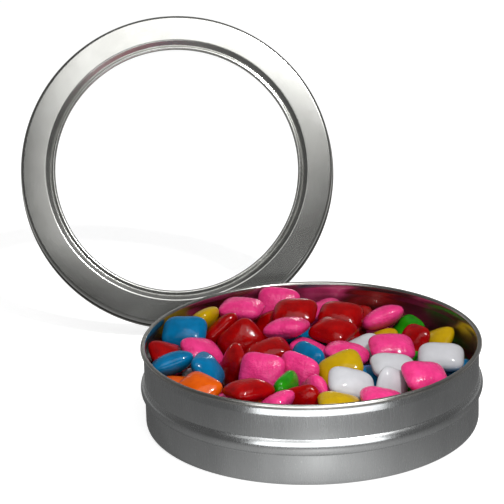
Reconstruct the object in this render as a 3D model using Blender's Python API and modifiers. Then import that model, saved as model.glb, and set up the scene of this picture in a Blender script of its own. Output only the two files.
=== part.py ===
"""A round window tin: a drawn tin full of sugar-coated sweets, and its slip lid with a clear window, taken off.

Metres, +Z up. The origin is the centre of the tin's base, and the base stands on z = 0. The lid stands on its
edge behind the tin, on the same level, leaning back.
"""

import math
import random

import bmesh
import bpy
import numpy as np
from mathutils import Euler, Matrix, Vector

mm = 0.001

# Tinplate, shared by the tin and the lid
plate = 0.28 * mm
turned_step_count = 48
weld_distance = 0.001 * mm

# Tin
tin_height = 22.4 * mm
wall_radius = 45.7 * mm
base_corner_radius = 1.5 * mm
base_ring_radius = 34.0 * mm
base_ring_width = 2.6 * mm
base_ring_rise = 0.35 * mm
bead_foot_height = 8.75 * mm
bead_length = 4.3 * mm
bead_depth = 1.1 * mm
rim_curl_diameter = 1.1 * mm

# Lid, measured from its face
slip_clearance = 0.15 * mm
lid_height = 10.2 * mm
lid_corner_radius = 1.0 * mm
lid_curl_diameter = 0.95 * mm
recess_radius = 39.6 * mm
recess_edge_radius = 0.6 * mm
groove_radius = 37.95 * mm
groove_depth = 1.0 * mm
groove_bend_radius = 0.17 * mm
recess_slope_degrees = 35
groove_slope_degrees = 70
window_radius = 36.5 * mm
window_curl_diameter = 1.3 * mm
window_curl_drop = 0.45 * mm
window_curl_end_degrees = 290

# Window pane
pane_thickness = 0.4 * mm
pane_overlap = 2.2 * mm
pane_seat_gap = 0.2 * mm

# Lid taken off, standing behind the tin
lid_aside = 37.3 * mm
lid_behind = 80.6 * mm
lid_foot_gap = 0.02 * mm
lid_lean_degrees = 24.5
lid_turn_degrees = 0.8

# Sweets, their sizes as shares of the tin's inner radius, so that the same heap fills a tin of any size
sweet_length_share = 0.282
sweet_width_share = 0.238
sweet_thickness_share = 0.141
sweet_gap = 0.3 * mm
heap_rise = 1.2 * mm
bed_seat_gap = 0.3 * mm
bed_least_thickness = 2.0 * mm
plan_power = 3.6
edge_power = 1.8
sweet_cut_count = 2
bed_ring_count = 14
bed_spoke_count = 52
bed_slice_count = 120

# Settling of the sweets, rounded as it goes so that every run settles the same way
rounding_place_count = 8
settle_round_count = 600
settle_easing = 0.5
settle_pull = 0.03
pull_share = 0.6
settle_spin = 0.3
spin_share = 0.8
lift_step = 0.25 * mm

# Sweets of the lower layers, which shape the top of the bed: the step of their rows, the levels that they start
# on and the most that each level leans, and how far one may press into another
lower_step_share = 0.268
lower_row_share = 0.87
lower_level_shares = (0.174, 0.446)
lower_lean_degrees = (10, 55)
lower_scatter_share = 0.02
lower_round_count = 160
lower_squeeze = 0.1 * mm
lower_ceiling_share = 0.64
skin_cut_count = 3
bed_skin_cut_count = 9
draw_seed = 7

# Colour, then the place of each sweet's middle: across and back as shares of the tin's inner radius, and sunk
# below the rim as a share of the tin's height; then its heading, its lean and the side it leans to, in degrees
sweet_shares = [
    ("yellow", -0.70, 0.60, 0.10, -25, 8, 0),
    ("blue", -0.78, 0.36, 0.11, 0, 20, 270),
    ("red", -0.88, 0.11, 0.24, 18, 20, 290),
    ("blue", -0.83, -0.16, 0.12, 22, 22, 175),
    ("red", -0.54, 0.47, 0.14, 5, 42, 190),
    ("pink", -0.42, 0.69, 0.08, -5, 8, 270),
    ("red", -0.41, 0.32, 0.10, 18, 20, 235),
    ("pink", -0.66, 0.12, 0.21, 40, 8, 270),
    ("blue", -0.63, -0.24, 0.16, 70, 55, 330),
    ("orange", -0.79, -0.34, 0.27, 10, 0, 0),
    ("orange", -0.67, -0.50, 0.22, -60, 25, 240),
    ("red", -0.47, -0.05, 0.28, 0, 75, 200),
    ("pink", -0.30, -0.26, 0.18, -18, 58, 257),
    ("red", -0.26, 0.09, 0.21, 12, 16, 240),
    ("pink", -0.15, 0.34, 0.11, -14, 6, 0),
    ("pink", -0.18, 0.87, 0.19, -12, 62, 262),
    ("red", -0.08, 0.62, 0.08, -12, 26, 262),
    ("pink", 0.10, 0.88, 0.30, 10, 0, 0),
    ("red", 0.21, 0.61, 0.16, -15, 22, 285),
    ("red", 0.14, 0.36, 0.18, -22, 34, 257),
    ("pink", 0.47, 0.58, 0.22, 16, 22, 195),
    ("green", 0.58, 0.54, 0.36, 15, 0, 0),
    ("yellow", 0.77, 0.40, 0.40, -12, 4, 270),
    ("red", 0.64, 0.35, 0.39, 30, 45, 200),
    ("white", 0.31, 0.25, 0.34, 14, 12, 240),
    ("yellow", 0.43, 0.45, 0.40, 0, 0, 0),
    ("pink", 0.49, 0.10, 0.20, 3, 10, 240),
    ("white", 0.78, -0.03, 0.23, -6, 14, 275),
    ("pink", -0.01, 0.25, 0.33, 0, 0, 0),
    ("pink", 0.22, 0.05, 0.22, -15, 10, 345),
    ("blue", -0.03, -0.01, 0.27, -50, 68, 225),
    ("blue", -0.13, 0.31, 0.40, 0, 0, 0),
    ("blue", -0.02, 0.56, 0.40, 0, 0, 0),
    ("yellow", 0.16, -0.27, 0.15, 14, 24, 255),
    ("white", 0.21, -0.54, 0.13, -26, 22, 265),
    ("blue", 0.35, -0.18, 0.37, -45, 10, 270),
    ("white", 0.48, -0.24, 0.19, 0, 5, 270),
    ("pink", 0.65, -0.46, 0.13, 17, 15, 287),
    ("white", 0.45, -0.46, 0.29, -60, 70, 320),
    ("pink", 0.39, -0.76, 0.17, 3, 0, 0),
    ("yellow", 0.15, -0.78, 0.19, 3, 0, 270),
    ("pink", -0.09, -0.26, 0.21, -40, 50, 250),
    ("green", -0.14, -0.47, 0.28, 90, 86, 0),
    ("pink", -0.00, -0.52, 0.29, -45, 60, 212),
    ("red", -0.06, -0.61, 0.31, 45, 75, 90),
    ("pink", -0.24, -0.72, 0.21, -5, 0, 270),
    ("red", -0.37, -0.60, 0.21, 3, 3, 90),
    ("pink", -0.50, -0.55, 0.29, -5, 5, 270),
    ("red", 0.29, 0.89, 0.38, -15, 10, 270),
]

# The same for the sweets of the lower layers that show between those of the top layer
lower_shares = [
    (-0.86, 0.26, 0.32, 80, 30, 0),
    (-0.35, 0.82, 0.22, -10, 20, 270),
    (-0.57, 0.70, 0.26, 20, 20, 300),
    (-0.30, 0.63, 0.44, 10, 10, 0),
    (0.33, 0.68, 0.46, -15, 10, 0),
    (0.53, -0.11, 0.46, 10, 15, 270),
    (0.07, 0.28, 0.44, 30, 10, 0),
]

# Red, green, blue, roughness and metallic of each finish
finishes = {
    "tinplate": (0.62, 0.62, 0.60, 0.32, 1.0),
    "clear": (0.93, 0.95, 0.96, 0.08, 0.0),
    "yellow": (0.72, 0.50, 0.01, 0.25, 0.0),
    "blue": (0.01, 0.17, 0.36, 0.25, 0.0),
    "pink": (0.80, 0.07, 0.28, 0.3, 0.0),
    "red": (0.36, 0.01, 0.01, 0.22, 0.0),
    "orange": (0.78, 0.17, 0.01, 0.3, 0.0),
    "white": (0.80, 0.78, 0.80, 0.25, 0.0),
    "green": (0.04, 0.30, 0.02, 0.22, 0.0),
    "mixed": (0.30, 0.10, 0.16, 0.5, 0.0),
}

# Sizes that both pieces of tinplate, the pane and the sweets share
half_plate = plate / 2
inner_radius = wall_radius - plate
rim_radius = inner_radius + rim_curl_diameter
skirt_radius = rim_radius + slip_clearance
flat_share = math.cos(math.pi / turned_step_count)
clear_radius = inner_radius * flat_share - sweet_gap
half_sweet = np.array([sweet_length_share, sweet_width_share, sweet_thickness_share]) * inner_radius / 2


def clear_scene():
    for thing in list(bpy.data.objects):
        bpy.data.objects.remove(thing, do_unlink=True)


def new_collection(name):
    collection = bpy.data.collections.new(name)
    bpy.context.scene.collection.children.link(collection)
    return collection


def new_material(name):
    red, green, blue, roughness, metallic = finishes[name]
    material = bpy.data.materials.new(name)
    material.use_nodes = True
    shader = material.node_tree.nodes["Principled BSDF"]
    shader.inputs["Base Color"].default_value = (red, green, blue, 1)
    shader.inputs["Roughness"].default_value = roughness
    shader.inputs["Metallic"].default_value = metallic
    return material


def add_object(name, mesh, collection, parent=None):
    piece = bpy.data.objects.new(name, mesh)
    collection.objects.link(piece)
    piece.parent = parent
    return piece


def arc(centre, radius, start, end, steps):
    """Points (radius, height) round centre, from the angle start to the angle end, in degrees."""
    points = []
    for step in range(steps + 1):
        angle = math.radians(start + (end - start) * step / steps)
        points.append((centre[0] + radius * math.cos(angle), centre[1] + radius * math.sin(angle)))
    return points


def base_ring_line():
    """The ring pressed up into the base, as points of the sheet's middle line."""
    inner = base_ring_radius - base_ring_width / 2
    outer = base_ring_radius + base_ring_width / 2
    return [(inner, half_plate), (base_ring_radius, half_plate + base_ring_rise), (outer, half_plate)]


def bead_line(middle_radius):
    """The bead that stops the lid: a round bulge of the wall, as points of the sheet's middle line."""
    bulge_radius = (bead_length**2 / 4 + bead_depth**2) / (2 * bead_depth)
    reach = math.degrees(math.asin(bead_length / 2 / bulge_radius))
    centre = (middle_radius + bead_depth - bulge_radius, bead_foot_height + bead_length / 2)
    return arc(centre, bulge_radius, -reach, reach, 6)


def tin_line():
    """The middle line of the tin's sheet, from the centre of the base to the tip of the rim's curl."""
    middle_radius = wall_radius - half_plate
    corner_centre = (wall_radius - base_corner_radius, base_corner_radius)
    curl_radius = rim_curl_diameter / 2
    curl_centre = (inner_radius + curl_radius, tin_height - curl_radius)
    points = [(0, half_plate)]
    points += base_ring_line()
    points += arc(corner_centre, base_corner_radius - half_plate, -90, 0, 3)
    points += bead_line(middle_radius)
    points += arc(curl_centre, curl_radius - half_plate, 180, -90, 5)
    return points


def lid_line():
    """The middle line of the lid's sheet, from the tip of the skirt's curl to the tip of the window's curl."""
    skirt_curl_radius = lid_curl_diameter / 2
    skirt_curl_centre = (skirt_radius + skirt_curl_radius, skirt_curl_radius - lid_height)
    corner_centre = (skirt_radius + plate - lid_corner_radius, -lid_corner_radius)
    recess_centre = (recess_radius, -recess_edge_radius)
    groove_centre = (groove_radius, groove_bend_radius - groove_depth)
    window_curl_radius = window_curl_diameter / 2
    window_curl_centre = (window_radius + window_curl_radius, -window_curl_drop - window_curl_radius)
    slope = recess_slope_degrees
    lean = 90 - groove_slope_degrees
    points = arc(skirt_curl_centre, skirt_curl_radius - half_plate, 450, 180, 4)
    points += arc(corner_centre, lid_corner_radius - half_plate, 0, 90, 3)
    points += arc(recess_centre, recess_edge_radius - half_plate, 90, 90 + slope, 2)
    points += arc(groove_centre, groove_bend_radius + half_plate, slope - 90, lean - 180, 2)
    points += arc(window_curl_centre, window_curl_radius - half_plate, lean, window_curl_end_degrees, 5)
    return points


def turned_sheet(name, line, material, collection, parent=None):
    """A sheet-metal shell: its middle line turned about Z and given the plate's thickness."""
    mesh = bpy.data.meshes.new(name)
    vertices = [(radius, 0, height) for radius, height in line]
    edges = [(step, step + 1) for step in range(len(line) - 1)]
    mesh.from_pydata(vertices, edges, [])
    mesh.materials.append(material)
    piece = add_object(name, mesh, collection, parent)
    screw = piece.modifiers.new("turn", "SCREW")
    screw.steps = turned_step_count
    screw.render_steps = turned_step_count
    screw.use_merge_vertices = True
    screw.merge_threshold = weld_distance
    screw.use_smooth_shade = True
    shell = piece.modifiers.new("plate", "SOLIDIFY")
    shell.thickness = plate
    shell.offset = 0
    shell.use_even_offset = True
    shell.use_quality_normals = True
    return piece


def window_pane(material, collection, parent):
    """The clear disc, seated behind the rolled edge of the opening."""
    top = -window_curl_drop - window_curl_diameter - pane_seat_gap
    bpy.ops.mesh.primitive_cylinder_add(
        vertices=turned_step_count, radius=window_radius + pane_overlap, depth=pane_thickness, end_fill_type="TRIFAN"
    )
    pane = bpy.context.object
    pane.name = "window_pane"
    for old in pane.users_collection:
        old.objects.unlink(pane)
    collection.objects.link(pane)
    pane.parent = parent
    pane.location = (0, 0, top - pane_thickness / 2)
    pane.data.materials.append(material)
    pane.data.shade_smooth()
    pane.data.set_sharp_from_angle(angle=math.radians(40))
    return pane


def lid_frame(collection):
    """The empty that the lid hangs on: the centre of its face, leaning back with the lid's edge on z = 0."""
    lean = math.radians(lid_lean_degrees)
    curl_radius = lid_curl_diameter / 2
    behind_face = lid_height - curl_radius
    out = skirt_radius + curl_radius
    height = behind_face * math.sin(lean) + out * math.cos(lean) + curl_radius + lid_foot_gap
    frame = add_object("lid_frame", None, collection)
    frame.location = (-lid_aside, lid_behind, height)
    frame.rotation_euler = (math.pi / 2 - lean, 0, math.radians(lid_turn_degrees))
    return frame


def pillow_level(points, half):
    """Below 1 inside a pillow of these half sizes, 1 on its skin; it grows as edge_power under scaling."""
    share = np.abs(points / half)
    plan = share[..., 0] ** plan_power + share[..., 1] ** plan_power
    return plan ** (edge_power / plan_power) + share[..., 2] ** edge_power


def pillow_normal(points, half):
    """The unit outward normal of the pillow's level surface at each point."""
    share = np.abs(points / half) + 1e-9
    plan = share[..., 0] ** plan_power + share[..., 1] ** plan_power
    slope = share.copy()
    slope[..., :2] = plan[..., None] ** (edge_power / plan_power - 1) * share[..., :2] ** (plan_power - 1)
    slope *= np.sign(points) / half
    return slope / np.linalg.norm(slope, axis=-1, keepdims=True)


def sweet_mesh(material):
    """A cube cut into a grid, with every corner moved out to the pillow's skin."""
    shape = bmesh.new()
    bmesh.ops.create_cube(shape, size=2)
    bmesh.ops.subdivide_edges(shape, edges=shape.edges[:], cuts=sweet_cut_count, use_grid_fill=True)
    middles = [face for face in shape.faces if face.calc_center_median().length < 1 + weld_distance]
    bmesh.ops.poke(shape, faces=middles)
    for vertex in shape.verts:
        point = np.array(vertex.co) * half_sweet
        vertex.co = point * pillow_level(point, half_sweet) ** (-1 / edge_power)
    bmesh.ops.triangulate(shape, faces=shape.faces[:])
    mesh = bpy.data.meshes.new("sweet_" + material.name)
    shape.to_mesh(mesh)
    shape.free()
    mesh.materials.append(material)
    mesh.shade_smooth()
    return mesh


def skin_grid(cut_count):
    """Points of a cube's grid, pushed out to a sweet's skin."""
    shape = bmesh.new()
    bmesh.ops.create_cube(shape, size=2)
    bmesh.ops.subdivide_edges(shape, edges=shape.edges[:], cuts=cut_count, use_grid_fill=True)
    points = np.array([vertex.co for vertex in shape.verts]) * half_sweet
    shape.free()
    return points * pillow_level(points, half_sweet)[:, None] ** (-1 / edge_power)


def skin_points(mesh):
    """Points on a sweet's skin: the corners of its mesh and the middles of its edges, pushed out to the skin."""
    corners = np.array([vertex.co for vertex in mesh.vertices])
    middles = np.array([(corners[edge.vertices[0]] + corners[edge.vertices[1]]) / 2 for edge in mesh.edges])
    middles *= pillow_level(middles, half_sweet)[:, None] ** (-1 / edge_power)
    return np.concatenate([corners, middles])


def sweet_turn(heading, lean, side):
    """The rotation of a sweet that heads one way on the flat and then leans over to a side."""
    side_angle = math.radians(side)
    tilt_axis = Vector((-math.sin(side_angle), math.cos(side_angle), 0))
    tilt = Matrix.Rotation(math.radians(lean), 3, tilt_axis)
    return tilt @ Matrix.Rotation(math.radians(heading), 3, "Z")


def neighbour_pushes(places, turns, skin):
    """How far each sweet has to move and turn to clear its neighbours."""
    moves = np.zeros_like(places)
    spins = np.zeros_like(places)
    clear_half = half_sweet + sweet_gap
    reach = 2 * np.linalg.norm(clear_half)
    apart = np.linalg.norm(places[:, None] - places[None], axis=2)
    first, second = np.where((apart < reach) & (apart > 0))
    world = np.einsum("nij,kj->nki", turns, skin) + places[:, None]
    local = np.einsum("nkj,nji->nki", world[first] - places[second][:, None], turns[second])
    level = np.round(pillow_level(local, clear_half), rounding_place_count)
    rows = np.arange(len(first))
    deepest = level.argmin(axis=1)
    touch = world[first, deepest]
    point = local[rows, deepest]
    normal = pillow_normal(point, clear_half)
    depth = (level[rows, deepest] ** (-1 / edge_power) - 1) * np.einsum("ni,ni->n", point, normal)
    push = np.einsum("nij,nj->ni", turns[second], normal) * np.maximum(depth, 0)[:, None] / 2
    np.add.at(moves, first, push)
    np.add.at(moves, second, -push)
    np.add.at(spins, first, np.cross(touch - places[first], push))
    np.add.at(spins, second, -np.cross(touch - places[second], push))
    return moves, spins / np.mean(half_sweet**2)


def wall_pushes(world, floor):
    """Moves that bring sweets back inside the wall, under the top of the heap and above the floor."""
    moves = np.zeros((len(world), 3))
    rows = np.arange(len(world))
    out = np.round(np.linalg.norm(world[..., :2], axis=2), rounding_place_count)
    furthest = out.argmax(axis=1)
    over = np.maximum(out[rows, furthest] - clear_radius, 0)
    ray = world[rows, furthest, :2] / out[rows, furthest][:, None]
    moves[:, :2] = -ray * over[:, None]
    too_high = np.maximum(world[..., 2].max(axis=1) - tin_height - heap_rise, 0)
    too_low = np.maximum(floor - world[..., 2].min(axis=1), 0)
    moves[:, 2] = too_low - too_high * settle_easing
    return moves


def spun(turns, spins):
    """Each turn followed by a small rotation about its spin, as far as the spin is long, in radians."""
    after = [Matrix.Rotation(Vector(spin).length, 3, Vector(spin)) @ Matrix(turn) for turn, spin in zip(turns, spins)]
    return np.round(np.array(after), rounding_place_count)


def settle(places, turns, skin):
    """Eases the sweets apart until they clear each other and the wall, keeping near their places."""
    wanted = places.copy()
    floor = bed_floor() + bed_least_thickness + bed_seat_gap
    for turn_count in range(settle_round_count):
        moves, spins = neighbour_pushes(places, turns, skin)
        places = places + moves * settle_easing
        if turn_count < settle_round_count * spin_share:
            turns = spun(turns, spins * settle_spin)
        world = np.einsum("nij,kj->nki", turns, skin) + places[:, None]
        places = places + wall_pushes(world, floor)
        if turn_count < settle_round_count * pull_share:
            places = places + (wanted - places) * settle_pull
        places = np.round(places, rounding_place_count)
    return places, turns


def overlapping(one, other, places, turns, skin, margin=sweet_gap / 2):
    """Whether two sweets come closer than the margin."""
    for mover, keeper in ((one, other), (other, one)):
        world = skin @ turns[mover].T + places[mover]
        local = (world - places[keeper]) @ turns[keeper]
        if pillow_level(local, half_sweet + margin).min() < 1:
            return True
    return False


def lift_clear(places, turns, skin):
    """Raises whatever still overlaps, from the lowest sweet up, until it rests on those under it."""
    order = places[:, 2].argsort()
    reach = 2 * np.linalg.norm(half_sweet + sweet_gap)
    for rank, upper in enumerate(order):
        searching = True
        while searching:
            searching = False
            for lower in order[:rank]:
                near = np.linalg.norm(places[upper] - places[lower]) < reach
                if near and overlapping(upper, lower, places, turns, skin):
                    places[upper, 2] += lift_step
                    searching = True
    return places


def bed_floor():
    """The underside of the bed of sweets, on the ring pressed up into the base."""
    return plate + base_ring_rise + bed_seat_gap


def lower_starts():
    """Where the sweets of the lower layers start: those that show, then rows of them on each level."""
    draw = random.Random(draw_seed)
    scale = np.array([inner_radius, inner_radius, -tin_height])
    places = [np.array(row[:3]) * scale + np.array([0, 0, tin_height]) for row in lower_shares]
    turns = [np.array(sweet_turn(*row[3:])) for row in lower_shares]
    step = lower_step_share * inner_radius
    row_count = int(2 * inner_radius / step) + 1
    middle = (row_count - 1) / 2
    for level, lean in zip(lower_level_shares, lower_lean_degrees):
        for row in range(row_count):
            for column in range(row_count):
                across = (column - middle + (-1) ** row / 4) * step
                back = (row - middle) * step * lower_row_share
                height = tin_height * (level + draw.uniform(-lower_scatter_share, lower_scatter_share))
                turn = sweet_turn(draw.uniform(0, 180), draw.uniform(0, lean), draw.uniform(0, 360))
                if math.hypot(across, back) < inner_radius - half_sweet[0]:
                    places.append(np.array([across, back, height]))
                    turns.append(np.array(turn))
    return np.array(places), np.array(turns)


def lower_sweets(places, turns):
    """Places and turns of the sweets of the lower layers, eased apart under the top layer, which stays."""
    top_count = len(places)
    skin = skin_grid(skin_cut_count)
    low_places, low_turns = lower_starts()
    places = np.concatenate([places, low_places])
    turns = np.concatenate([turns, low_turns])
    for turn_count in range(lower_round_count):
        moves, spins = neighbour_pushes(places, turns, skin)
        places[top_count:] += moves[top_count:]
        if turn_count < lower_round_count * spin_share:
            turns[top_count:] = spun(turns[top_count:], spins[top_count:] * settle_spin)
        world = np.einsum("nij,kj->nki", turns, skin) + places[:, None]
        places[top_count:] += wall_pushes(world, bed_floor())[top_count:]
        places = np.round(places, rounding_place_count)
    reach = 2 * np.linalg.norm(half_sweet)
    kept = list(range(top_count))
    for lower in range(top_count, len(places)):
        near = [other for other in kept if np.linalg.norm(places[lower] - places[other]) < reach]
        squeezed = any(overlapping(lower, other, places, turns, skin, -lower_squeeze) for other in near)
        if places[lower, 2] < tin_height * lower_ceiling_share and not squeezed:
            kept.append(lower)
    return places[kept[top_count:]], turns[kept[top_count:]]


def bed_heights(places, turns):
    """The height of the bed at each crossing of its rings and spokes: the top of the lower sweets there, or its
    least thickness between them, and always just under the top layer."""
    low_places, low_turns = lower_sweets(places, turns)
    slices = np.linspace(bed_floor() + bed_least_thickness, tin_height, bed_slice_count)
    heights = np.full((bed_ring_count + 1, bed_spoke_count), slices[0])
    for ring in range(bed_ring_count + 1):
        for step in range(bed_spoke_count):
            angle = math.tau * step / bed_spoke_count
            radius = clear_radius * ring / bed_ring_count
            column = np.stack([np.full(bed_slice_count, radius * math.cos(angle)),
                               np.full(bed_slice_count, radius * math.sin(angle)), slices], 1)
            near = np.hypot(*(low_places[:, :2] - column[0, :2]).T) < np.linalg.norm(half_sweet)
            local = np.einsum("nkj,nji->nki", column - low_places[near][:, None], low_turns[near])
            inside = (pillow_level(local, half_sweet) < 1).any(axis=0)
            if inside.any():
                heights[ring, step] = slices[inside][-1]
    skin = skin_grid(bed_skin_cut_count)
    points = (np.einsum("nij,kj->nki", turns, skin) + places[:, None]).reshape(-1, 3)
    ring_of = np.linalg.norm(points[:, :2], axis=1) / clear_radius * bed_ring_count
    step_of = np.arctan2(points[:, 1], points[:, 0]) % math.tau / math.tau * bed_spoke_count
    for ring, step, height in zip(ring_of, step_of, points[:, 2]):
        for near_ring in (math.floor(ring), math.floor(ring) + 1):
            for near_step in (math.floor(step), math.floor(step) + 1):
                corner = (min(near_ring, bed_ring_count), near_step % bed_spoke_count)
                heights[corner] = min(heights[corner], height - bed_seat_gap)
    heights[0] = heights[0].min()
    return heights


def sweets_below(places, turns, material, collection):
    """The sweets under the top layer, as one lumpy solid that carries it."""
    heights = bed_heights(places, turns)
    floor = bed_floor()
    shape = bmesh.new()
    top_middle = shape.verts.new((0, 0, heights[0, 0]))
    low_middle = shape.verts.new((0, 0, floor))
    rings = []
    for ring in range(1, bed_ring_count + 1):
        circle = []
        for step in range(bed_spoke_count):
            angle = math.tau * step / bed_spoke_count
            radius = clear_radius * ring / bed_ring_count
            place = (radius * math.cos(angle), radius * math.sin(angle), heights[ring, step])
            circle.append(shape.verts.new(place))
        rings.append(circle)
    foot = [shape.verts.new((vertex.co.x, vertex.co.y, floor)) for vertex in rings[-1]]
    for step in range(bed_spoke_count):
        after = (step + 1) % bed_spoke_count
        shape.faces.new((top_middle, rings[0][step], rings[0][after]))
        for inner, outer in zip(rings, rings[1:] + [foot]):
            shape.faces.new((inner[step], outer[step], outer[after], inner[after]))
        shape.faces.new((low_middle, foot[after], foot[step]))
    bmesh.ops.triangulate(shape, faces=shape.faces[:])
    mesh = bpy.data.meshes.new("sweets_below")
    shape.to_mesh(mesh)
    shape.free()
    mesh.materials.append(material)
    mesh.shade_smooth()
    mesh.set_sharp_from_angle(angle=math.radians(60))
    return add_object("sweets_below", mesh, collection)


def fill_with_sweets(materials, collection):
    """The top layer of sweets, each its own piece, and the bed under them."""
    meshes = {row[0]: None for row in sweet_shares}
    for colour in meshes:
        meshes[colour] = sweet_mesh(materials[colour])
    skin = skin_points(meshes["pink"])
    scale = np.array([inner_radius, inner_radius, -tin_height])
    places = np.array([row[1:4] for row in sweet_shares]) * scale + np.array([0, 0, tin_height])
    turns = np.array([sweet_turn(*row[4:]) for row in sweet_shares])
    places, turns = settle(places, turns, skin)
    places = lift_clear(places, turns, skin)
    counts = dict.fromkeys(meshes, 0)
    for row, place, turn in zip(sweet_shares, places, turns):
        colour = row[0]
        counts[colour] += 1
        sweet = add_object(f"{colour}_sweet_{counts[colour]}", meshes[colour], collection)
        sweet.location = place
        sweet.rotation_euler = Matrix(turn).to_euler()
    sweets_below(places, turns, materials["mixed"], collection)


def build():
    clear_scene()
    collection = new_collection("window_tin")
    materials = {name: new_material(name) for name in finishes}
    turned_sheet("tin_body", tin_line(), materials["tinplate"], collection)
    fill_with_sweets(materials, collection)
    frame = lid_frame(collection)
    turned_sheet("lid_ring", lid_line(), materials["tinplate"], collection, frame)
    window_pane(materials["clear"], collection, frame)


build()
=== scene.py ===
"""Looks of a round window tin: a drawn tin full of sugar-coated sweets, with its slip lid standing behind it.

Metres, +Z up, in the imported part's frame. Every shape is built here, from the frame's nodes and named sizes.
"""

import math
import random

import bmesh
import bpy
import numpy as np
from mathutils import Matrix, Vector, noise


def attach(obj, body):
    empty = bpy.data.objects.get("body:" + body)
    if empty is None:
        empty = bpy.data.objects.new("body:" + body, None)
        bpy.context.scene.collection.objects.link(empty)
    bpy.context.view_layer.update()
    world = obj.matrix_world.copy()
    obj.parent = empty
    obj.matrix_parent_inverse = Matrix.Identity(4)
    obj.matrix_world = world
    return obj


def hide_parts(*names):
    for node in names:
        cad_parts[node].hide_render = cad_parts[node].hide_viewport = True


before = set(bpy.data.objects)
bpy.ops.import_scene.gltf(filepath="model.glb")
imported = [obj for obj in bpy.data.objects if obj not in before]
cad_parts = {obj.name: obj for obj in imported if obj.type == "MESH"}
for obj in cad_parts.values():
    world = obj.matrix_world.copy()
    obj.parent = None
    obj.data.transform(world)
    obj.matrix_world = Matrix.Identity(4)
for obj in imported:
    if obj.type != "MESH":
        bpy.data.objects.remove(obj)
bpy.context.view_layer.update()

mm = 0.001

# Tinplate
plate = 0.28 * mm
turn_count = 192
arc_step_count = 48
line_step = 0.02 * mm
smoothing_reach = 3
bend_tolerance = 0.0025 * mm

# Tin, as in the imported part, but with the rim lifted and the neck pressed in under it
tin_height = 22.4 * mm
wall_radius = 45.7 * mm
base_corner_radius = 1.5 * mm
base_ring_radius = 34.0 * mm
base_ring_width = 2.6 * mm
base_ring_rise = 0.35 * mm
bead_foot_height = 8.75 * mm
bead_length = 4.3 * mm
bead_depth = 1.1 * mm
rim_curl_diameter = 1.1 * mm
rim_curl_end_degrees = -105
rim_lift = 0.6 * mm
neck_foot = 3.4 * mm
neck_waist = 1.75 * mm
neck_depth = 0.30 * mm
tin_softness = 0.14 * mm

# Lid, measured from its face
slip_clearance = 0.15 * mm
lid_height = 10.2 * mm
lid_corner_radius = 1.0 * mm
lid_curl_diameter = 0.95 * mm
lid_curl_start_degrees = 450
recess_radius = 39.6 * mm
recess_edge_radius = 0.6 * mm
groove_radius = 37.95 * mm
groove_depth = 1.0 * mm
groove_bend_radius = 0.17 * mm
recess_slope_degrees = 35
groove_slope_degrees = 70
window_radius = 36.5 * mm
window_curl_diameter = 1.3 * mm
window_curl_drop = 0.45 * mm
window_curl_end_degrees = 290
pane_gap = 0.2 * mm
face_fall = 0.25 * mm
lid_softness = 0.08 * mm

# Sweets, with the powers that round off their plan and their edge and that even out their grid
plan_power = 3.6
plan_power_spread = 0.35
edge_power = 1.8
edge_power_spread = 0.12
power_seed = 3
grid_power = 0.9
sweet_cut_count = 13
under_cut_count = 7
lump_height = 0.09 * mm
lump_size = 3.6 * mm
grain_height = 0.018 * mm
grain_size = 1.1 * mm
noise_step_per_sweet = (0.37, 0.73, 0.19)

# Sweets of the lower layers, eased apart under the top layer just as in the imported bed
sweet_gap = 0.3 * mm
bed_seat_gap = 0.3 * mm
lower_step_share = 0.268
lower_row_share = 0.87
lower_level_shares = (0.174, 0.446)
lower_lean_degrees = (10, 55)
lower_scatter_share = 0.02
lower_round_count = 160
lower_squeeze = 0.1 * mm
lower_ceiling_share = 0.64
settle_spin = 0.3
spin_share = 0.8
skin_cut_count = 3
draw_seed = 7
packed_side_count = 48
rounding_place_count = 8
vertex_place_count = 7
least_share = 1e-9

# Colour, then the start of each lower sweet that shows between those above it: its place across and back and
# its depth under the rim, as shares, and its heading, lean and the side it leans to, in degrees
lower_shares = [
    ("pink", -0.86, 0.26, 0.32, 80, 30, 0),
    ("red", -0.35, 0.82, 0.22, -10, 20, 270),
    ("pink", -0.57, 0.70, 0.26, 20, 20, 300),
    ("pink", -0.30, 0.63, 0.44, 10, 10, 0),
    ("pink", 0.33, 0.68, 0.46, -15, 10, 0),
    ("pink", 0.53, -0.11, 0.46, 10, 15, 270),
    ("blue", 0.07, 0.28, 0.44, 30, 10, 0),
]
other_colours = (
    "pink", "red", "blue", "pink", "white", "red", "yellow", "pink", "green", "blue", "red", "orange"
)

# Tinplate's looks. Nearly all of a noise's values are within the noise range
noise_range = (0.3, 0.7)
cloud_range = (0.35, 0.65)
speck_range = (0.70, 0.74)
speck_colour = (0.88, 0.88, 0.86)
plate_bump_strength = 0.25

# Sugar's looks
sugar_coat_roughness = 0.12
sugar_specular = 0.02
sugar_roughness_shares = (0.7, 1.4)
sugar_bump_strength = 0.6

# The window's looks
window_colour = (0.95, 0.96, 0.97, 1)
window_ior = 1.49
window_roughness = (0.03, 0.07)
window_blend = 0.25
window_mirror_shares = (0.05, 0.5)

half_plate = plate / 2
inner_radius = wall_radius - plate
rim_radius = inner_radius + rim_curl_diameter
skirt_radius = rim_radius + slip_clearance
clear_radius = inner_radius * math.cos(math.pi / packed_side_count) - sweet_gap


def arc(centre, radius, start, end):
    """Points (radius, height) round centre, from the angle start to the angle end, in degrees."""
    angles = np.radians(np.linspace(start, end, arc_step_count + 1))
    return [(centre[0] + radius * math.cos(angle), centre[1] + radius * math.sin(angle)) for angle in angles]


def bead_line(middle_radius):
    """The bead's bulge, as an arc that starts and ends on the wall."""
    bulge_radius = (bead_length**2 / 4 + bead_depth**2) / (2 * bead_depth)
    reach = math.degrees(math.asin(bead_length / 2 / bulge_radius))
    centre = (middle_radius + bead_depth - bulge_radius, bead_foot_height + bead_length / 2)
    return arc(centre, bulge_radius, -reach, reach)


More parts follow.
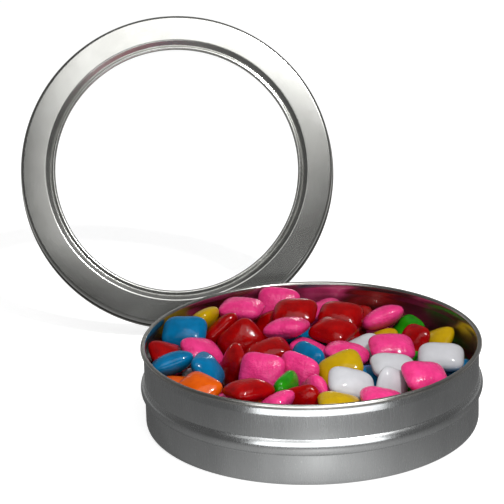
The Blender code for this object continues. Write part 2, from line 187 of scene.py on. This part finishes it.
def tin_line():
    """The middle line of the tin's sheet, from the centre of the base to the tip of the rim's curl."""
    middle_radius = wall_radius - half_plate
    curl_radius = (rim_curl_diameter + neck_depth) / 2
    rim_height = tin_height + rim_lift
    curl_centre = (rim_radius - curl_radius, rim_height - curl_radius)
    corner_centre = (wall_radius - base_corner_radius, base_corner_radius)
    half_ring = base_ring_width / 2
    points = [(0, half_plate), (base_ring_radius - half_ring, half_plate)]
    points += [(base_ring_radius, half_plate + base_ring_rise), (base_ring_radius + half_ring, half_plate)]
    points += arc(corner_centre, base_corner_radius - half_plate, -90, 0)
    points += bead_line(middle_radius)
    points += [(middle_radius, rim_height - neck_foot), (middle_radius - neck_depth, rim_height - neck_waist)]
    points += arc(curl_centre, curl_radius - half_plate, 180, rim_curl_end_degrees)
    return points


def lid_line():
    """The middle line of the lid's sheet, from the tip of the skirt's curl to that of the window's curl."""
    skirt_curl_radius = lid_curl_diameter / 2
    skirt_curl_centre = (skirt_radius + skirt_curl_radius, skirt_curl_radius - lid_height)
    corner_centre = (skirt_radius + plate - lid_corner_radius, -lid_corner_radius - face_fall)
    recess_centre = (recess_radius, -recess_edge_radius)
    groove_centre = (groove_radius, groove_bend_radius - groove_depth)
    window_curl_radius = window_curl_diameter / 2
    window_curl_centre = (window_radius + window_curl_radius, -window_curl_drop - window_curl_radius)
    slope = recess_slope_degrees
    lean = 90 - groove_slope_degrees
    points = arc(skirt_curl_centre, skirt_curl_radius - half_plate, lid_curl_start_degrees, 180)
    points += arc(corner_centre, lid_corner_radius - half_plate, 0, 90)
    points += arc(recess_centre, recess_edge_radius - half_plate, 90, 90 + slope)
    points += arc(groove_centre, groove_bend_radius + half_plate, slope - 90, lean - 180)
    points += arc(window_curl_centre, window_curl_radius - half_plate, lean, window_curl_end_degrees)
    return points


def smooth_line(points, softness):
    """The line at even steps, with its corners rounded off and its ends kept."""
    points = np.array(points)
    places = np.concatenate([[0], np.cumsum(np.linalg.norm(np.diff(points, axis=0), axis=1))])
    even = np.linspace(0, places[-1], int(places[-1] / line_step) + 1)
    dense = np.stack([np.interp(even, places, points[:, axis]) for axis in (0, 1)], 1)
    reach = int(smoothing_reach * softness / line_step)
    weights = np.exp(-0.5 * (np.arange(-reach, reach + 1) * line_step / softness) ** 2)
    before = 2 * dense[0] - dense[reach:0:-1]
    after = 2 * dense[-1] - dense[-2 : -reach - 2 : -1]
    padded = np.concatenate([before, dense, after])
    return np.stack([np.convolve(padded[:, axis], weights / weights.sum(), "valid") for axis in (0, 1)], 1)


def bends_of(line):
    """The numbers of the points that keep the line's shape."""
    kept = {0, len(line) - 1}
    spans = [(0, len(line) - 1)]
    while spans:
        first, last = spans.pop()
        along = line[last] - line[first]
        off = line[first : last + 1] - line[first]
        far = np.abs(along[0] * off[:, 1] - along[1] * off[:, 0]) / np.hypot(*along)
        middle = first + int(far.argmax())
        if far.max() > bend_tolerance:
            kept.add(middle)
            spans += [(first, middle), (middle, last)]
    return sorted(kept)


def turned_shell(name, line, thickness, softness, materials):
    """A sheet turned about Z. Its outer side takes the first material and its inner side the last."""
    dense = smooth_line(line, softness)
    slope = np.gradient(dense, axis=0)
    slope /= np.linalg.norm(slope, axis=1, keepdims=True)
    kept = bends_of(dense)
    middle, side = dense[kept], np.stack([slope[kept, 1], -slope[kept, 0]], 1)
    count = len(kept)
    points = np.concatenate([middle + side * thickness / 2, (middle - side * thickness / 2)[::-1]])
    normals = np.concatenate([side, -side[::-1]])
    on_axis = middle[0, 0] < line_step
    angles = np.arange(turn_count) * math.tau / turn_count
    turn = np.stack([np.cos(angles), np.sin(angles)], 1)
    vertices, rings = [], []
    for radius, height in points:
        if radius < line_step:
            rings.append([len(vertices)] * turn_count)
            vertices.append((0, 0, height))
        else:
            rings.append(list(range(len(vertices), len(vertices) + turn_count)))
            vertices += [(radius * x, radius * y, height) for x, y in turn]
    faces, corner_normals, sides = [], [], []
    last = 2 * count - 1 if on_axis else 2 * count
    for row in range(last):
        below, above = row, (row + 1) % (2 * count)
        ends = [normals[below], normals[above]]
        if row in (count - 1, 2 * count - 1):
            cap = slope[-1] if row == count - 1 else -slope[0]
            ends = [cap, cap]
        for step in range(turn_count):
            after = (step + 1) % turn_count
            corners = [(below, step), (below, after), (above, after), (above, step)]
            seen = []
            for ring, place in corners:
                if rings[ring][place] not in [vertex for vertex, _, _ in seen]:
                    seen.append((rings[ring][place], place, ends[0] if ring == below else ends[1]))
            faces.append([vertex for vertex, _, _ in seen])
            for _, place, end in seen:
                corner_normals.append((end[0] * turn[place][0], end[0] * turn[place][1], end[1]))
            sides.append(0 if row < count else len(materials) - 1)
    mesh = bpy.data.meshes.new(name)
    mesh.from_pydata(vertices, [], faces)
    for material in materials:
        mesh.materials.append(material)
    mesh.polygons.foreach_set("material_index", sides)
    mesh.shade_smooth()
    mesh.normals_split_custom_set(corner_normals)
    return mesh


def add_piece(name, mesh, matrix, body, node):
    """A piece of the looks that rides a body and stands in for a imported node."""
    piece = bpy.data.objects.new(name, mesh)
    bpy.context.scene.collection.objects.link(piece)
    piece.matrix_world = matrix
    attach(piece, body)
    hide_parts(node)


def axes_of(node):
    """A matrix on the middle of a node, with X along its longest and Z along its thinnest side."""
    points = np.array([vertex.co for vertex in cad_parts[node].data.vertices])
    points = np.unique(np.round(points, vertex_place_count), axis=0)
    middle = (points.max(0) + points.min(0)) / 2 if node == "window_pane" else points.mean(0)
    _, axes = np.linalg.eigh(np.cov((points - points.mean(0)).T))
    axes = axes[:, ::-1]
    if axes[2, 2] < 0:
        axes[:, 2] *= -1
    axes[:, 1] = np.cross(axes[:, 2], axes[:, 0])
    matrix = Matrix(axes.tolist()).to_4x4()
    matrix.translation = Vector(middle)
    spans = np.ptp((points - points.mean(0)) @ axes, axis=0)
    return matrix, spans


def new_material(name, roughness, metallic=0.0, coat=0.0, coat_roughness=0.1):
    """A material and its shader, with the numbers that are the same all over it."""
    material = bpy.data.materials.new(name)
    material.use_nodes = True
    shader = material.node_tree.nodes["Principled BSDF"]
    shader.inputs["Roughness"].default_value = roughness
    shader.inputs["Metallic"].default_value = metallic
    shader.inputs["Coat Weight"].default_value = coat
    shader.inputs["Coat Roughness"].default_value = coat_roughness
    return material, shader


def noise_field(tree, scale, detail, roughness=0.5, stretch=(1, 1, 1)):
    """A noise in the piece's own coordinates, stretched along its axes. Scale is in features a metre."""
    place = tree.nodes.new("ShaderNodeTexCoord")
    mapping = tree.nodes.new("ShaderNodeMapping")
    mapping.inputs["Scale"].default_value = stretch
    field = tree.nodes.new("ShaderNodeTexNoise")
    field.inputs["Scale"].default_value = scale
    field.inputs["Detail"].default_value = detail
    field.inputs["Roughness"].default_value = roughness
    tree.links.new(place.outputs["Object"], mapping.inputs["Vector"])
    tree.links.new(mapping.outputs["Vector"], field.inputs["Vector"])
    return field.outputs["Fac"]


def spread(tree, value, low, high, out_low, out_high):
    """Value with the range low to high laid on out_low to out_high."""
    node = tree.nodes.new("ShaderNodeMapRange")
    for socket, number in zip(node.inputs[1:5], (low, high, out_low, out_high)):
        socket.default_value = number
    tree.links.new(value, node.inputs["Value"])
    return node.outputs["Result"]


def mixed(tree, factor, first, second):
    """The colour between first and second, by factor."""
    node = tree.nodes.new("ShaderNodeMix")
    node.data_type = "RGBA"
    tree.links.new(factor, node.inputs["Factor"])
    for socket, colour in ((node.inputs[6], first), (node.inputs[7], second)):
        if isinstance(colour, tuple):
            socket.default_value = (*colour, 1)
        else:
            tree.links.new(colour, socket)
    return node.outputs[2]


def maths(tree, operation, first, second=0):
    """The result of an operation on two values, each a number or an output."""
    node = tree.nodes.new("ShaderNodeMath")
    node.operation = operation
    for socket, value in zip(node.inputs, (first, second)):
        if isinstance(value, (int, float)):
            socket.default_value = value
        else:
            tree.links.new(value, socket)
    return node.outputs["Value"]


def bumped(tree, shader, height, distance, strength):
    """Bumps by height, which is from 0 to 1, and distance."""
    node = tree.nodes.new("ShaderNodeBump")
    node.inputs["Strength"].default_value = strength
    node.inputs["Distance"].default_value = distance
    tree.links.new(height, node.inputs["Height"])
    tree.links.new(node.outputs["Normal"], shader.inputs["Normal"])
    return node.outputs["Normal"]


def tinplate(name, colour, dull, roughness, rough_spread, grain_depth, speck_share):
    """Rolled tinplate: a fine grain that runs up the walls, faint clouds and tiny specks."""
    material, shader = new_material(name, roughness, metallic=1.0)
    tree = material.node_tree
    grain = noise_field(tree, scale=3600, detail=2, roughness=0.6, stretch=(1, 1, 0.03))
    clouds = noise_field(tree, scale=90, detail=3, stretch=(1, 1, 0.4))
    specks = noise_field(tree, scale=2300, detail=1, roughness=0.4)
    speck = spread(tree, specks, *speck_range, 0, speck_share)
    base = mixed(tree, spread(tree, clouds, *cloud_range, 0, 1), colour, dull)
    base = mixed(tree, speck, base, speck_colour)
    tree.links.new(base, shader.inputs["Base Color"])
    shine = spread(tree, grain, *noise_range, roughness - rough_spread, roughness + rough_spread)
    tree.links.new(shine, shader.inputs["Roughness"])
    bumped(tree, shader, grain, grain_depth, plate_bump_strength)
    return material


def sugar_shell(name, light, deep, roughness, mottle_depth, mottle_scale, coat):
    """A polished sugar shell: uneven colour and small bumps, in the sugar and in the shine on it."""
    material, shader = new_material(name, roughness, coat=coat, coat_roughness=sugar_coat_roughness)
    shader.inputs["Specular IOR Level"].default_value = sugar_specular
    tree = material.node_tree
    patches = noise_field(tree, scale=330, detail=3)
    mottle = noise_field(tree, scale=mottle_scale, detail=2, roughness=0.6)
    base = mixed(tree, spread(tree, patches, *noise_range, 0, 1), light, deep)
    tree.links.new(base, shader.inputs["Base Color"])
    smooth, rough = (roughness * share for share in sugar_roughness_shares)
    tree.links.new(spread(tree, mottle, *noise_range, smooth, rough), shader.inputs["Roughness"])
    normal = bumped(tree, shader, mottle, mottle_depth, sugar_bump_strength)
    tree.links.new(normal, shader.inputs["Coat Normal"])
    return material


def window_plastic():
    """Clear plastic that lets light straight through and mirrors a little, more so near its edge of view."""
    material, shader = new_material("clear_window", window_roughness[0])
    tree = material.node_tree
    shader.inputs["Base Color"].default_value = window_colour
    shader.inputs["IOR"].default_value = window_ior
    haze = noise_field(tree, scale=60, detail=3)
    tree.links.new(spread(tree, haze, *noise_range, *window_roughness), shader.inputs["Roughness"])
    clear = tree.nodes.new("ShaderNodeBsdfTransparent")
    share = tree.nodes.new("ShaderNodeLayerWeight")
    share.inputs["Blend"].default_value = window_blend
    both = tree.nodes.new("ShaderNodeMixShader")
    tree.links.new(spread(tree, share.outputs["Facing"], 0, 1, *window_mirror_shares), both.inputs["Fac"])
    tree.links.new(clear.outputs["BSDF"], both.inputs[1])
    tree.links.new(shader.outputs["BSDF"], both.inputs[2])
    tree.links.new(both.outputs["Shader"], tree.nodes["Material Output"].inputs["Surface"])
    return material


def pillow_level(points, half, powers):
    """Below 1 inside a pillow of these half sizes and 1 on its skin."""
    plan, edge = powers
    share = np.abs(points / half)
    return (share[..., 0] ** plan + share[..., 1] ** plan) ** (edge / plan) + share[..., 2] ** edge


def cube_grid(cut_count):
    """A cube of side 2 with its faces cut into a grid."""
    shape = bmesh.new()
    bmesh.ops.create_cube(shape, size=2)
    bmesh.ops.subdivide_edges(shape, edges=shape.edges[:], cuts=cut_count, use_grid_fill=True)
    return shape


def pillow_mesh(name, half, powers, cut_count, seed, material):
    """A sweet: a cube's grid pushed out to the pillow's skin, with lumps and a fine grain pressed into it."""
    shape = cube_grid(cut_count)
    offset = Vector([seed * step for step in noise_step_per_sweet])
    for vertex in shape.verts:
        point = np.array(vertex.co)
        point = np.sign(point) * np.abs(point) ** grid_power * half
        point = Vector(point * pillow_level(point, half, powers) ** (-1 / powers[1]))
        lump = noise.noise(point / lump_size + offset) - 1
        grain = noise.noise(point / grain_size + offset) - 1
        vertex.co = point + point.normalized() * (lump * lump_height + grain * grain_height)
    mesh = bpy.data.meshes.new(name)
    shape.to_mesh(mesh)
    shape.free()
    mesh.materials.append(material)
    mesh.shade_smooth()
    return mesh


def sweet_level(points, half):
    """Below 1 inside a sweet of these half sizes and 1 on its skin."""
    return pillow_level(points, half, (plan_power, edge_power))


def sweet_normals(points, half):
    """Which way the skin of a sweet of these half sizes faces at these points."""
    share = np.abs(points / half) + least_share
    plan = share[..., 0] ** plan_power + share[..., 1] ** plan_power
    slope = share.copy()
    slope[..., :2] = plan[..., None] ** (edge_power / plan_power - 1) * share[..., :2] ** (plan_power - 1)
    slope *= np.sign(points) / half
    return slope / np.linalg.norm(slope, axis=-1, keepdims=True)


def skin_grid(cut_count):
    """Points of a cube's grid, pushed out to a sweet's skin."""
    shape = cube_grid(cut_count)
    points = np.array([vertex.co for vertex in shape.verts]) * half_sweet
    shape.free()
    return points * sweet_level(points, half_sweet)[:, None] ** (-1 / edge_power)


def sweet_turn(heading, lean, side):
    """The rotation of a sweet that heads one way on the flat and then leans over to a side."""
    side_angle = math.radians(side)
    tilt_axis = Vector((-math.sin(side_angle), math.cos(side_angle), 0))
    return Matrix.Rotation(math.radians(lean), 3, tilt_axis) @ Matrix.Rotation(math.radians(heading), 3, "Z")


def neighbour_pushes(places, turns, skin):
    """How far each sweet has to move and turn to clear its neighbours."""
    moves = np.zeros_like(places)
    spins = np.zeros_like(places)
    clear_half = half_sweet + sweet_gap
    apart = np.linalg.norm(places[:, None] - places[None], axis=2)
    first, second = np.where((apart < 2 * np.linalg.norm(clear_half)) & (apart > 0))
    world = np.einsum("nij,kj->nki", turns, skin) + places[:, None]
    local = np.einsum("nkj,nji->nki", world[first] - places[second][:, None], turns[second])
    level = np.round(sweet_level(local, clear_half), rounding_place_count)
    rows = np.arange(len(first))
    deepest = level.argmin(axis=1)
    touch = world[first, deepest]
    point = local[rows, deepest]
    normal = sweet_normals(point, clear_half)
    depth = (level[rows, deepest] ** (-1 / edge_power) - 1) * np.einsum("ni,ni->n", point, normal)
    push = np.einsum("nij,nj->ni", turns[second], normal) * np.maximum(depth, 0)[:, None] / 2
    np.add.at(moves, first, push)
    np.add.at(moves, second, -push)
    np.add.at(spins, first, np.cross(touch - places[first], push))
    np.add.at(spins, second, -np.cross(touch - places[second], push))
    return moves, spins / np.mean(half_sweet**2)


def wall_pushes(world, floor):
    """Moves that bring sweets back inside the wall and above the floor."""
    moves = np.zeros((len(world), 3))
    rows = np.arange(len(world))
    out = np.round(np.linalg.norm(world[..., :2], axis=2), rounding_place_count)
    furthest = out.argmax(axis=1)
    over = np.maximum(out[rows, furthest] - clear_radius, 0)
    ray = world[rows, furthest, :2] / out[rows, furthest][:, None]
    moves[:, :2] = -ray * over[:, None]
    moves[:, 2] = np.maximum(floor - world[..., 2].min(axis=1), 0)
    return moves


def spun(turns, spins):
    """Each turn followed by a small rotation about its spin, as far as the spin is long, in radians."""
    after = []
    for turn, spin in zip(turns, map(Vector, spins)):
        after.append(Matrix.Rotation(spin.length, 3, spin) @ Matrix(turn))
    return np.round(np.array(after), rounding_place_count)


def overlapping(one, other, places, turns, skin):
    """Whether two sweets press further into each other than they may."""
    for mover, keeper in ((one, other), (other, one)):
        local = (skin @ turns[mover].T + places[mover] - places[keeper]) @ turns[keeper]
        if sweet_level(local, half_sweet - lower_squeeze).min() < 1:
            return True
    return False


def lower_starts():
    """Where the sweets of the lower layers start: those that show, then rows of them on each level."""
    draw = random.Random(draw_seed)
    scale = np.array([inner_radius, inner_radius, -tin_height])
    places = [np.array(row[1:4]) * scale + np.array([0, 0, tin_height]) for row in lower_shares]
    turns = [np.array(sweet_turn(*row[4:])) for row in lower_shares]
    step = lower_step_share * inner_radius
    row_count = int(2 * inner_radius / step) + 1
    middle = (row_count - 1) / 2
    for level, lean in zip(lower_level_shares, lower_lean_degrees):
        for row in range(row_count):
            for column in range(row_count):
                across = (column - middle + (-1) ** row / 4) * step
                back = (row - middle) * step * lower_row_share
                height = tin_height * (level + draw.uniform(-lower_scatter_share, lower_scatter_share))
                turn = sweet_turn(draw.uniform(0, 180), draw.uniform(0, lean), draw.uniform(0, 360))
                if math.hypot(across, back) < inner_radius - half_sweet[0]:
                    places.append(np.array([across, back, height]))
                    turns.append(np.array(turn))
    return np.array(places), np.array(turns)


def lower_sweets(tops):
    """The colour and the matrix of each sweet of the lower layers, eased apart under the top layer."""
    top_count = len(tops)
    skin = skin_grid(skin_cut_count)
    low_places, low_turns = lower_starts()
    places = np.concatenate([[matrix.translation for matrix in tops], low_places])
    turns = np.concatenate([[np.array(matrix.to_3x3()) for matrix in tops], low_turns])
    floor = plate + base_ring_rise + bed_seat_gap
    for turn_number in range(lower_round_count):
        moves, spins = neighbour_pushes(places, turns, skin)
        places[top_count:] += moves[top_count:]
        if turn_number < lower_round_count * spin_share:
            turns[top_count:] = spun(turns[top_count:], spins[top_count:] * settle_spin)
        world = np.einsum("nij,kj->nki", turns, skin) + places[:, None]
        places[top_count:] += wall_pushes(world, floor)[top_count:]
        places = np.round(places, rounding_place_count)
    reach = 2 * np.linalg.norm(half_sweet)
    kept, found = list(range(top_count)), []
    for number in range(top_count, len(places)):
        near = [other for other in kept if np.linalg.norm(places[number] - places[other]) < reach]
        squeezed = any(overlapping(number, other, places, turns, skin) for other in near)
        if places[number, 2] > tin_height * lower_ceiling_share or squeezed:
            continue
        kept.append(number)
        matrix = Matrix(turns[number].tolist()).to_4x4()
        matrix.translation = Vector(places[number])
        row = number - top_count
        colour = lower_shares[row][0] if row < len(lower_shares) else other_colours[row % len(other_colours)]
        found.append((colour, matrix))
    return found


# Materials
satin = tinplate(
    "satin_tinplate", colour=(0.68, 0.69, 0.69), dull=(0.60, 0.61, 0.61), roughness=0.26, rough_spread=0.02,
    grain_depth=0.0005 * mm, speck_share=0.5,
)
lid_satin = tinplate(
    "lid_tinplate", colour=(0.69, 0.69, 0.66), dull=(0.60, 0.60, 0.57), roughness=0.24, rough_spread=0.01,
    grain_depth=0.0001 * mm, speck_share=0.5,
)
bright = tinplate(
    "bright_tinplate", colour=(0.58, 0.57, 0.54), dull=(0.50, 0.49, 0.46), roughness=0.24, rough_spread=0.01,
    grain_depth=0.0001 * mm, speck_share=0.15,
)

# Lighter and deeper shade of each sugar, its roughness, the depth and scale of its bumps, and its coat
shades = {
    "yellow": ((0.47, 0.30, 0.001), (0.39, 0.24, 0.001), 0.27, 0.04 * mm, 1300, 0.55),
    "blue": ((0.0005, 0.145, 0.325), (0.0005, 0.10, 0.225), 0.22, 0.04 * mm, 1300, 0.55),
    "pink": ((0.76, 0.044, 0.225), (0.61, 0.024, 0.155), 0.24, 0.40 * mm, 1150, 0.80),
    "red": ((0.33, 0.001, 0.001), (0.20, 0.000, 0.001), 0.22, 0.14 * mm, 1250, 0.50),
    "orange": ((0.65, 0.10, 0.001), (0.53, 0.066, 0.001), 0.28, 0.04 * mm, 1300, 0.55),
    "white": ((0.50, 0.50, 0.52), (0.45, 0.45, 0.47), 0.33, 0.02 * mm, 1300, 0.50),
    "green": ((0.015, 0.24, 0.003), (0.008, 0.145, 0.002), 0.20, 0.04 * mm, 1300, 0.60),
}
sugars = {colour: sugar_shell("sugar_" + colour, *shade) for colour, shade in shades.items()}

# Tin
tin_mesh = turned_shell("tin_shell", tin_line(), plate, tin_softness, [satin, bright])
add_piece("tin_shell", tin_mesh, Matrix.Identity(4), "tin", "tin_body")

# Lid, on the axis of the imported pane
pane_matrix, pane_spans = axes_of("window_pane")
pane_depth = pane_spans[2]
pane_top = -window_curl_drop - window_curl_diameter - pane_gap
pane_middle = pane_top - pane_depth / 2
face_normal = pane_matrix.col[2].to_3d().normalized()
if face_normal.y > 0:
    face_normal.negate()
across = Vector((1, 0, 0))
across = (across - face_normal * across.dot(face_normal)).normalized()
lid_matrix = Matrix([across, face_normal.cross(across), face_normal]).transposed().to_4x4()
lid_matrix.translation = pane_matrix.translation - face_normal * pane_middle
lid_mesh = turned_shell("lid_shell", lid_line(), plate, lid_softness, [lid_satin, bright])
add_piece("lid_shell", lid_mesh, lid_matrix, "lid", "lid_ring")
pane_line = [(0, pane_middle), (pane_spans[0] / 2, pane_middle)]
pane_mesh = turned_shell("window_disc", pane_line, pane_depth, lid_softness, [window_plastic()])
add_piece("window_disc", pane_mesh, lid_matrix, "lid", "window_pane")

# Sweets of the top layer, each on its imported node
tops = sorted(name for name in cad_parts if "_sweet_" in name)
draw = random.Random(power_seed)
fixed = []
for number, node in enumerate(tops):
    colour = node.split("_")[0]
    matrix, spans = axes_of(node)
    plan = plan_power + draw.uniform(-plan_power_spread, plan_power_spread)
    edge = edge_power + draw.uniform(0, edge_power_spread)
    mesh = pillow_mesh("shell_" + node, spans / 2, (plan, edge), sweet_cut_count, number, sugars[colour])
    add_piece("sugar_" + node, mesh, matrix, "tin", node)
    fixed.append(matrix)

# Sweets of the lower layers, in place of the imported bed
half_sweet = axes_of(tops[0])[1] / 2
under_meshes = {}
for number, (colour, matrix) in enumerate(lower_sweets(fixed)):
    if colour not in under_meshes:
        under_meshes[colour] = pillow_mesh(
            "under_" + colour, half_sweet, (plan_power, edge_power), under_cut_count, number, sugars[colour]
        )
    add_piece(f"under_{colour}_{number + 1}", under_meshes[colour], matrix, "tin", "sweets_below")

# Floor: its shade and fill for the eye, and its shade and its glow in polished metal
floor_size = 4.0
floor_shade = 0.60
floor_fill = 0.80
mirrored_floor_shade = 0.05
far_glow = 0.08
near_glow = 0.92
glow_reach = 20 * mm
glow_place = (0.002, -0.064, 0)
back_glow = 0.45
back_glow_span = (0.05, 0.12)

# Room: the shade that lights the scene, and what polished metal sees ahead, at the sides and at the back
ambient_shade = 0.20
room_shade = 0.01
room_side_shade = 0.10
room_back_shade = 0.17
room_back_span = (0.15, 0.7)


def grey(shade):
    return (shade, shade, shade)


def rays(tree):
    """Whether a ray comes from the eye, straight or through the window, and whether it is a mirrored one."""
    path = tree.nodes.new("ShaderNodeLightPath")
    seen = maths(tree, "MAXIMUM", path.outputs["Is Camera Ray"], path.outputs["Is Transmission Ray"])
    return seen, path.outputs["Is Glossy Ray"]


def placed(tree, output):
    """A place, and its parts along the axes."""
    place = tree.nodes.new("ShaderNodeTexCoord")
    parts = tree.nodes.new("ShaderNodeSeparateXYZ")
    tree.links.new(place.outputs[output], parts.inputs["Vector"])
    return place.outputs[output], parts.outputs


def studio_floor():
    """A floor that reads white to the eye and keeps its shadows, with pools of light in polished metal."""
    material = bpy.data.materials.new("studio_floor")
    material.use_nodes = True
    tree = material.node_tree
    tree.nodes.remove(tree.nodes["Principled BSDF"])
    seen, mirrored = rays(tree)
    place, parts = placed(tree, "Object")
    away = tree.nodes.new("ShaderNodeVectorMath")
    away.operation = "DISTANCE"
    away.inputs[1].default_value = glow_place
    tree.links.new(place, away.inputs[0])
    fade = maths(tree, "EXPONENT", maths(tree, "DIVIDE", away.outputs["Value"], -glow_reach))
    front_pool = maths(tree, "ADD", maths(tree, "MULTIPLY", fade, near_glow), far_glow)
    back_pool = spread(tree, parts["Y"], *back_glow_span, 0, back_glow - far_glow)
    mirrored_glow = maths(tree, "MULTIPLY", mirrored, maths(tree, "ADD", front_pool, back_pool))
    strength = maths(tree, "ADD", maths(tree, "MULTIPLY", seen, floor_fill), mirrored_glow)
    diffuse = tree.nodes.new("ShaderNodeBsdfDiffuse")
    shade = mixed(tree, mirrored, grey(floor_shade), grey(mirrored_floor_shade))
    tree.links.new(shade, diffuse.inputs["Color"])
    glow = tree.nodes.new("ShaderNodeEmission")
    tree.links.new(strength, glow.inputs["Strength"])
    both = tree.nodes.new("ShaderNodeAddShader")
    tree.links.new(diffuse.outputs["BSDF"], both.inputs[0])
    tree.links.new(glow.outputs["Emission"], both.inputs[1])
    tree.links.new(both.outputs["Shader"], tree.nodes["Material Output"].inputs["Surface"])
    return material


def studio_room():
    """White to the eye, an even grey as light, and dark with paler sides and back in polished metal."""
    world = bpy.data.worlds.new("studio")
    world.use_nodes = True
    tree = world.node_tree
    seen, mirrored = rays(tree)
    _, parts = placed(tree, "Generated")
    aside = maths(tree, "ABSOLUTE", parts["X"])
    behind = spread(tree, parts["Y"], *room_back_span, 0, 1)
    mirrored_room = mixed(tree, aside, grey(room_shade), grey(room_side_shade))
    mirrored_room = mixed(tree, behind, mirrored_room, grey(room_back_shade))
    ambient = mixed(tree, mirrored, grey(ambient_shade), mirrored_room)
    tree.links.new(mixed(tree, seen, ambient, grey(1)), tree.nodes["Background"].inputs["Color"])
    return world


def soft_light(name, place, aim, size, watts, tint=(1, 1, 1)):
    """A softbox that lights the scene and shows in polished metal, but never to the eye."""
    lamp = bpy.data.lights.new(name, "AREA")
    lamp.shape = "RECTANGLE"
    lamp.size, lamp.size_y = size
    lamp.energy = watts
    lamp.color = tint
    light = bpy.data.objects.new(name, lamp)
    bpy.context.scene.collection.objects.link(light)
    light.location = place
    light.rotation_euler = (Vector(aim) - Vector(place)).to_track_quat("-Z", "Y").to_euler()
    light.visible_camera = False


half_floor = floor_size / 2
floor_corners = [(x * half_floor, y * half_floor, 0) for x, y in ((-1, -1), (1, -1), (1, 1), (-1, 1))]
floor_mesh = bpy.data.meshes.new("floor")
floor_mesh.from_pydata(floor_corners, [], [(0, 1, 2, 3)])
floor_mesh.materials.append(studio_floor())
floor = bpy.data.objects.new("floor", floor_mesh)
bpy.context.scene.collection.objects.link(floor)
bpy.context.scene.world = studio_room()

# Lights
soft_light("key_softbox", place=(0.030, -0.082, 0.284), aim=(0.030, 0.075, 0), size=(0.30, 0.15), watts=0.245)
soft_light(
    "left_card", place=(-0.075, -0.085, 0.150), aim=(-0.035, 0.05, 0.06), size=(0.075, 0.09), watts=0.016
)
soft_light(
    "right_card", place=(0.014, -0.085, 0.165), aim=(0.005, 0.08, 0.05), size=(0.035, 0.05), watts=0.003
)
soft_light(
    "near_card", place=(0.005, -0.080, 0.0355), aim=(0.005, 0, 0.0355), size=(0.104, 0.043), watts=0.033,
    tint=(0.97, 0.985, 1),
)
soft_light("top_fill", place=(0, 0.15, 0.75), aim=(0, 0, 0), size=(0.7, 0.5), watts=0.12)
soft_light("flash", place=(0.22, -0.28, 0.60), aim=(0, 0, 0.02), size=(0.036, 0.036), watts=3.0)

# Camera at the photograph's angle. Its focal length and the rim's centre are in pixels, and angles in radians
frame_side = 504
focal_pixels = 2400
rim_pixel = (310.797, 341.101)
rim_reference = 46.5 * mm
camera_distance = 14.0838386 * rim_reference
camera_elevation = 0.33649564
camera_roll = 0.02781051
sensor_width = 36


def set_camera():
    """A camera that sees the middle of the rim at the rim's pixel."""
    forward = Vector((0, math.cos(camera_elevation), -math.sin(camera_elevation)))
    right = Vector((1, 0, 0))
    down = forward.cross(right)
    turned_right = math.cos(camera_roll) * right + math.sin(camera_roll) * down
    turned_down = -math.sin(camera_roll) * right + math.cos(camera_roll) * down
    across_pixels, down_pixels = (pixel - frame_side / 2 for pixel in rim_pixel)
    ray = Vector((across_pixels / focal_pixels, down_pixels / focal_pixels, 1)).normalized()
    look = turned_right * ray.x + turned_down * ray.y + forward * ray.z
    data = bpy.data.cameras.new("camera")
    data.sensor_width = sensor_width
    data.lens = focal_pixels / frame_side * sensor_width
    camera = bpy.data.objects.new("camera", data)
    bpy.context.scene.collection.objects.link(camera)
    matrix = Matrix([turned_right, -turned_down, -forward]).transposed().to_4x4()
    matrix.translation = Vector((0, 0, tin_height)) - look * camera_distance
    camera.matrix_world = matrix
    bpy.context.scene.camera = camera


set_camera()
bpy.context.scene.view_settings.view_transform = "Standard"
